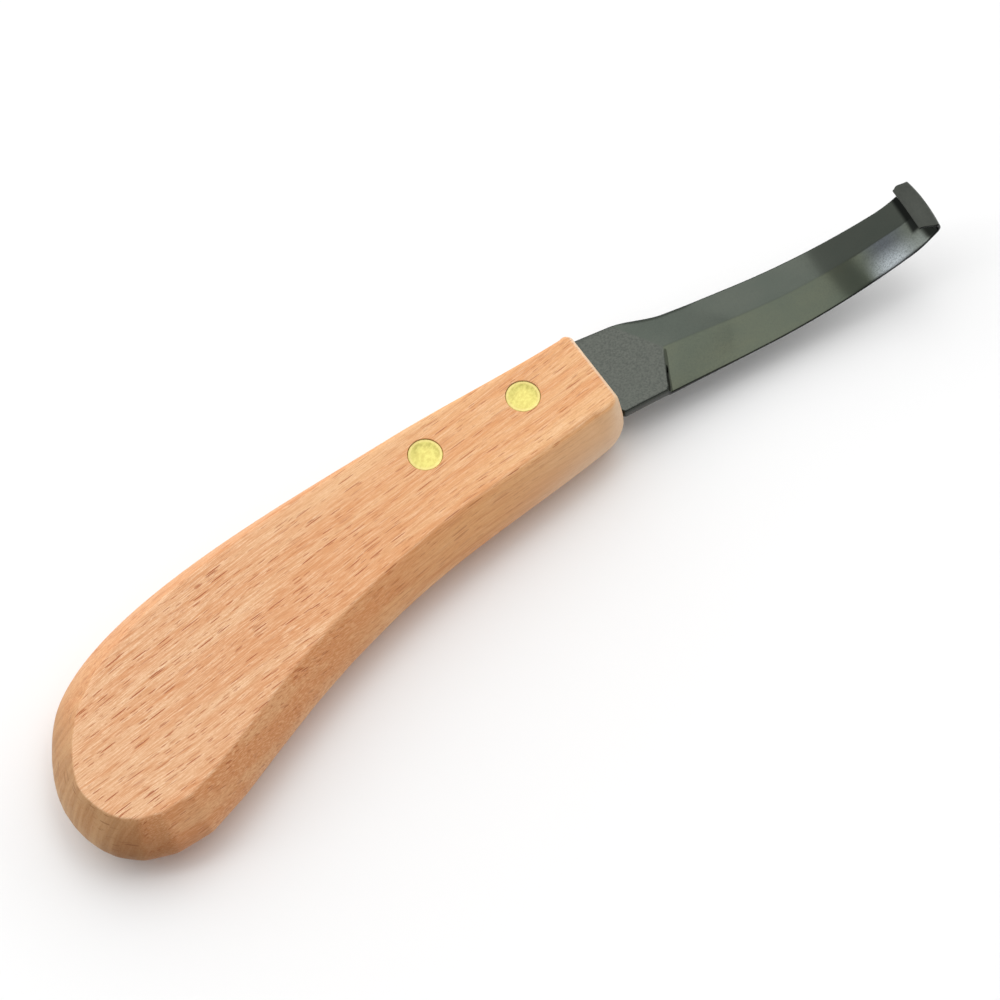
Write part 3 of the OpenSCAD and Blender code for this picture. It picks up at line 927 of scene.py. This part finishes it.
STRIP_COLOURS = (0.044, 0.051, 0.043), (0.050, 0.056, 0.047)
BEVEL_COLOURS = (0.050, 0.058, 0.044), (0.058, 0.064, 0.046)
FORGED_COLOURS = (0.060, 0.064, 0.056), (0.048, 0.052, 0.046)
# Painted highlight on the honed bevel: bright near the cutting edge, fading to the second colour towards
# the ridge
HONED_HIGHLIGHT_COLOURS = (0.25, 0.275, 0.288), (0.060, 0.067, 0.073)
RIDGE_COLOUR = (0.028, 0.032, 0.027)
SPECK_COLOUR = (0.034, 0.038, 0.034)
# Black forge scale on the narrow faces, partly painted shade there, and painted shade inside the hook under
# the lip
SCALE_AND_SHADE_COLOUR = (0.008, 0.009, 0.008)


def blade_zones(shader, place):
    """How far a place is ground, bevel, ridge and honed with a painted highlight, from 0 to 1, and its
    distance from the ridge.
    """
    along, across, height = shader.add("ShaderNodeSeparateXYZ", {0: place}).outputs
    ridge = shader.ramp(along, 0, FLAT.length + RIDGE_RUN, RIDGE_WANDER, -RIDGE_WANDER, "LINEAR")
    above = shader.math("SUBTRACT", across, ridge)
    half = ROOT_WIDTH / 2
    to_edge = shader.ramp(above, -half, 0, PLUNGE_LEAN, 0, "LINEAR")
    to_spine = shader.ramp(above, 0, half, 0, SPINE_LEAD, "LINEAR")
    past = shader.math("ADD", along, shader.math("ADD", to_edge, to_spine))
    ground = shader.ramp(past, ROOT_LENGTH - 0.2, ROOT_LENGTH + 0.5)
    below_hook = shader.ramp(height, HOOK_Z - 0.8, HOOK_Z + 0.8, 1, 0)
    flat_blade = shader.math("MULTIPLY", ground, below_hook)
    bevel = shader.math("MULTIPLY", shader.ramp(above, -0.12, 0.12, 1, 0), flat_blade)
    to_ridge = shader.math("ABSOLUTE", above)
    on_ridge = shader.math("MULTIPLY", shader.ramp(to_ridge, 0.05, 0.3, 1, 0), flat_blade)
    # Honed part of the bevel, which also carries a painted highlight
    rising = shader.ramp(along, *HONED_RUN)
    fading = shader.ramp(along, *HONED_FADE, 1, 0.25)
    honed_highlight = shader.math("MULTIPLY", shader.math("MULTIPLY", rising, fading), bevel)
    return ground, bevel, on_ridge, honed_highlight, above


def hook_zones(shader, place):
    """1 where painted shade falls on the inner face of the hook, under the overhanging lip, and 1 on the
    lip itself.
    """
    along, across, height = shader.add("ShaderNodeSeparateXYZ", {0: place}).outputs
    on_lip = shader.ramp(height, LIP_Z - 1.0, LIP_Z - 0.4)
    overhung = shader.ramp(across, *OVERHANG)
    shaded = shader.math("MULTIPLY", shader.ramp(along, HOOK_U - 0.8, HOOK_U + 0.1), overhung)
    deep = shader.ramp(height, HOOK_Z - 0.3, HOOK_Z + 0.6, 0.0, 0.85)
    to_handle = shader.ramp(shader.facing(TO_HANDLE), 0.2, 0.5)
    below_lip = shader.math("MULTIPLY", to_handle, shader.math("SUBTRACT", 1.0, on_lip))
    return shader.math("MULTIPLY", shader.math("MAXIMUM", shaded, deep), below_lip), on_lip


def tempered_steel():
    """Dark steel: a forged root, a ground blade, an olive bevel, a honed part before the hook with a
    painted highlight, black scale on the narrow faces that is partly painted shade, and painted shade
    inside the hook.
    """
    shader = Shader("blade_steel")
    place = shader.place_mm(-BLADE_SKEW, (FRONT_X, -BLADE_OFFSET))
    ground, bevel, on_ridge, honed_highlight, above = blade_zones(shader, place)
    painted_hook_shade, on_lip = hook_zones(shader, place)
    as_forged = shader.math("MAXIMUM", shader.math("SUBTRACT", 1.0, ground), on_lip)
    clouds = shader.ramp(shader.noise(place, STEEL_CLOUDS), 0.3, 0.7)
    specks = shader.noise(place, STEEL_SPECKS)
    pits = shader.noise(place, FORGED_PITS)
    marks = shader.noise(place, GRINDING_MARKS)

    strip = shader.blend(clouds, *STRIP_COLOURS)
    olive = shader.blend(clouds, *BEVEL_COLOURS)
    # Painted highlight on the honed bevel
    painted_highlight = shader.blend(shader.ramp(above, *HONED_ACROSS), *HONED_HIGHLIGHT_COLOURS)
    forged = shader.blend(shader.ramp(pits, 0.4, 0.65), *FORGED_COLOURS)
    narrow = shader.ramp(shader.math("ABSOLUTE", shader.facing(TO_SPINE)), 0.7, 0.9)
    # Scale on the narrow faces, partly painted shade, and painted shade inside the hook
    scale = shader.math("MAXIMUM", shader.math("MULTIPLY", narrow, ground), painted_hook_shade)
    colour = shader.blend(bevel, strip, olive)
    colour = shader.blend(shader.math("MULTIPLY", on_ridge, 0.35), colour, RIDGE_COLOUR)
    colour = shader.blend(honed_highlight, colour, painted_highlight)
    colour = shader.blend(as_forged, colour, forged)
    colour = shader.blend(shader.ramp(specks, 0.4, 0.7, 0.0, 0.25), colour, SPECK_COLOUR)
    colour = shader.blend(scale, colour, SCALE_AND_SHADE_COLOUR)

    smooth = shader.ramp(specks, 0.3, 0.7, 0.08, 0.13)
    rough = shader.ramp(pits, 0.3, 0.7, 0.18, 0.26)
    skin = shader.add("ShaderNodeMix", {0: as_forged, 2: smooth, 3: rough}, data_type="FLOAT")
    roughness = shader.math("ADD", skin.outputs[0], shader.math("MULTIPLY", honed_highlight, 0.14))
    forged_skin = shader.bump(shader.math("MULTIPLY", pits, as_forged), FORGED_RELIEF)
    relief = shader.math("ADD", shader.math("MULTIPLY", marks, 0.5), specks)
    return shader.finish(
        {
            "Base Color": colour,
            "Metallic": 1.0,
            "Roughness": roughness,
            "Normal": shader.bump(relief, GROUND_RELIEF, forged_skin),
        }
    )


# Brass

FILE_ANGLE = math.radians(25)
FILE_MARKS = Pattern((1.6, 0.09, 0.5), 3.0, 0.6)
BRASS_CLOUDS = Pattern((0.9, 0.7, 0.7), 3.0, 0.6)
BRASS_RELIEF = 0.008
# Side of each head towards which the turned ring darkens as a painted reflection
DARK_REFLECTION_SIDE = (0.5, 0.86, 0)
BRASS_COLOURS = (0.51, 0.44, 0.136), (0.585, 0.53, 0.17)
# The turned ring, darkened further as a painted reflection
RING_AND_REFLECTION_COLOUR = (0.34, 0.305, 0.086)
RIM_COLOUR = (0.66, 0.55, 0.25)


def head_zones(shader):
    """How far a place on a head is in its turned ring, made strong only on one side as a painted dark
    reflection, and on its bright rim.
    """
    generated = shader.add("ShaderNodeTexCoord").outputs["Generated"]
    inputs = {"Vector": generated, "Location": (-1, -1, 0), "Scale": (2, 2, 0)}
    centred = shader.add("ShaderNodeMapping", inputs).outputs[0]
    radius = shader.vector("LENGTH", centred, result="Value")
    toward_dark_reflection = shader.vector("DOT_PRODUCT", centred, DARK_REFLECTION_SIDE, "Value")
    ring = shader.math("MULTIPLY", shader.ramp(radius, 0.3, 0.65), shader.ramp(radius, 0.76, 0.9, 1, 0))
    # Painted reflection: the ring is strong only on the far side of the head
    ring = shader.math("MULTIPLY", ring, shader.ramp(toward_dark_reflection, -0.5, 0.6, 0.05, 0.75))
    rim = shader.math("MULTIPLY", shader.ramp(radius, 0.78, 0.9), shader.ramp(radius, 0.93, 0.98, 0.45, 0))
    return ring, rim


def brass():
    """Pale satin brass, ground flush with the wood, with a turned ring darkened on one side as a painted
    reflection, and a bright rim on each head.
    """
    shader = Shader("brass")
    place = shader.place_mm(FILE_ANGLE)
    marks = shader.noise(place, FILE_MARKS)
    clouds = shader.noise(place, BRASS_CLOUDS)
    ring, rim = head_zones(shader)
    ring = shader.math("MULTIPLY", ring, shader.ramp(clouds, 0.35, 0.6, 1.0, 0.45))
    colour = shader.blend(shader.ramp(clouds, 0.35, 0.65), *BRASS_COLOURS)
    colour = shader.blend(ring, colour, RING_AND_REFLECTION_COLOUR)
    colour = shader.blend(rim, colour, RIM_COLOUR)
    relief = shader.math("ADD", marks, shader.math("MULTIPLY", clouds, 2.0))
    return shader.finish(
        {
            "Base Color": colour,
            "Metallic": 1.0,
            "Roughness": shader.ramp(marks, 0.3, 0.7, 0.42, 0.52),
            "Normal": shader.bump(relief, BRASS_RELIEF),
        }
    )


def dress(piece, material, node):
    """A finished piece that stands for a CAD node."""
    piece.data.materials.clear()
    piece.data.materials.append(material)
    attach(piece, "root")
    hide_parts(node)


dress(make_handle(), beech(), "handle")
dress(make_blade(), tempered_steel(), "blade")
brass_material = brass()
for rivet_place, rivet_x in RIVET_X.items():
    for rivet_node, rivet_piece in make_rivet(rivet_place, rivet_x).items():
        dress(rivet_piece, brass_material, rivet_node)


# Floor, light and camera

FLOOR_HALF = 6000
FLOOR_COLOUR = (0.9, 0.9, 0.9, 1.0)
DARK_DIRECTION = (-0.40, -0.91, 0.10)
DARK_RUN = (-0.15, 0.55)


def make_floor():
    half = FLOOR_HALF
    corners = [(-half, -half, 0), (half, -half, 0), (half, half, 0), (-half, half, 0)]
    floor = mesh_piece("floor", corners, [(0, 1, 2, 3)])
    shader = Shader("floor")
    material = shader.finish({"Base Color": FLOOR_COLOUR, "Roughness": 0.8})
    floor.data.materials.append(material)


def softbox(name, centre, target, size, power, turn=0):
    """A rectangular area light, in metres, facing a target and turned by degrees in its own plane."""
    light = bpy.data.lights.new(name, "AREA")
    light.shape = "RECTANGLE"
    light.size, light.size_y = size
    light.energy = power
    lamp = bpy.data.objects.new(name, light)
    lamp.location = centre
    lamp.rotation_mode = "QUATERNION"
    facing = (Vector(target) - Vector(centre)).to_track_quat("-Z", "Y")
    lamp.rotation_quaternion = facing @ Quaternion((0, 0, 1), math.radians(turn))
    bpy.context.scene.collection.objects.link(lamp)


def make_world(open_side, dark_side):
    """A white studio whose strength falls from its open side to its dark side."""
    world = bpy.data.worlds.new("studio")
    world.use_nodes = True
    nodes = world.node_tree.nodes
    links = world.node_tree.links
    direction = nodes.new("ShaderNodeTexCoord").outputs["Generated"]
    towards = nodes.new("ShaderNodeVectorMath")
    towards.operation = "DOT_PRODUCT"
    towards.inputs[1].default_value = DARK_DIRECTION
    links.new(direction, towards.inputs[0])
    strength = nodes.new("ShaderNodeMapRange")
    strength.interpolation_type = "SMOOTHSTEP"
    for socket, value in zip((1, 2, 3, 4), (*DARK_RUN, open_side, dark_side)):
        strength.inputs[socket].default_value = value
    links.new(towards.outputs["Value"], strength.inputs[0])
    links.new(strength.outputs[0], nodes["Background"].inputs["Strength"])
    nodes["Background"].inputs["Color"].default_value = (1.0, 1.0, 1.0, 1.0)
    bpy.context.scene.world = world


CAMERA_AZIMUTH = math.radians(-34.43)
CAMERA_ELEVATION = math.radians(62.25)
CAMERA_DISTANCE = 650
CAMERA_TARGET = np.array([-2.76, -13.24, MID_Z])
LENS = 114.915
SENSOR_WIDTH = 36


def make_camera():
    data = bpy.data.cameras.new("camera")
    data.lens = LENS
    data.sensor_width = SENSOR_WIDTH
    camera = bpy.data.objects.new("camera", data)
    level = math.cos(CAMERA_ELEVATION)
    back = np.array(
        [
            math.sin(CAMERA_AZIMUTH) * level,
            -math.cos(CAMERA_AZIMUTH) * level,
            math.sin(CAMERA_ELEVATION),
        ]
    )
    camera.location = Vector((CAMERA_TARGET + CAMERA_DISTANCE * back) * MM)
    camera.rotation_mode = "QUATERNION"
    camera.rotation_quaternion = Vector(-back).to_track_quat("-Z", "Y")
    bpy.context.scene.collection.objects.link(camera)
    bpy.context.scene.camera = camera


make_floor()
softbox(
    "overhead",
    centre=(0.31, 0.213, 1.0),
    target=(0.31, 0.213, 0.0),
    size=(0.45, 1.08),
    power=2.25,
    turn=-12,
)
softbox(
    "side",
    centre=(-0.436, 0.132, 0.589),
    target=(0.10, -0.02, 0.015),
    size=(0.15, 1.06),
    power=0.8,
)
make_world(open_side=1.34, dark_side=0.3)
make_camera()
bpy.context.scene.view_settings.view_transform = "Standard"
